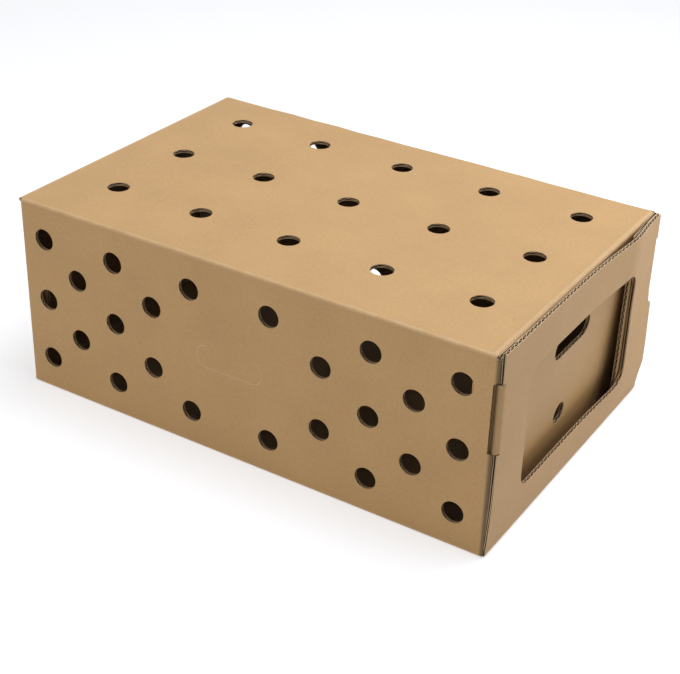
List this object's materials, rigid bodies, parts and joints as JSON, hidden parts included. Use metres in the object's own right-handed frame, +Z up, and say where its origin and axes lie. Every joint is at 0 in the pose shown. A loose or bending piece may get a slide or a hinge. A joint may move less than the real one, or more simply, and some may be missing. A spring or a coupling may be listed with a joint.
{
  "type": "poultry transport box",
  "caption": "Ventilated corrugated-board carrying box with a leaning inner end flap under a windowed outer flap that locks with rolled tabs.",
  "frame": {"origin": "on the floor plane, under the middle of the box", "axes": "+X along the length to the right end, +Y to the back, +Z up"},
  "size_m": [0.5946, 0.383, 0.2335],
  "materials": {
    "sleeve_board": "matte",
    "right_flap_board": "matte",
    "left_flap_board": "matte"
  },
  "bodies": {
    "sleeve": {"sleeve": "sleeve_board"},
    "right_flap": {"right_end_flap": "right_flap_board"},
    "left_flap": {"left_end_flap": "left_flap_board"}
  },
  "joints": [
    {"name": "right_flap_hinge", "type": "hinge", "parent": "sleeve", "child": "right_flap", "pos_m": [0.2973, 0, 0], "axis": [0, 1, 0], "range_deg": [0, 90]},
    {"name": "left_flap_hinge", "type": "hinge", "parent": "sleeve", "child": "left_flap", "pos_m": [-0.2973, 0, 0.231], "axis": [0, 1, 0], "range_deg": [0, 90]}
  ]
}
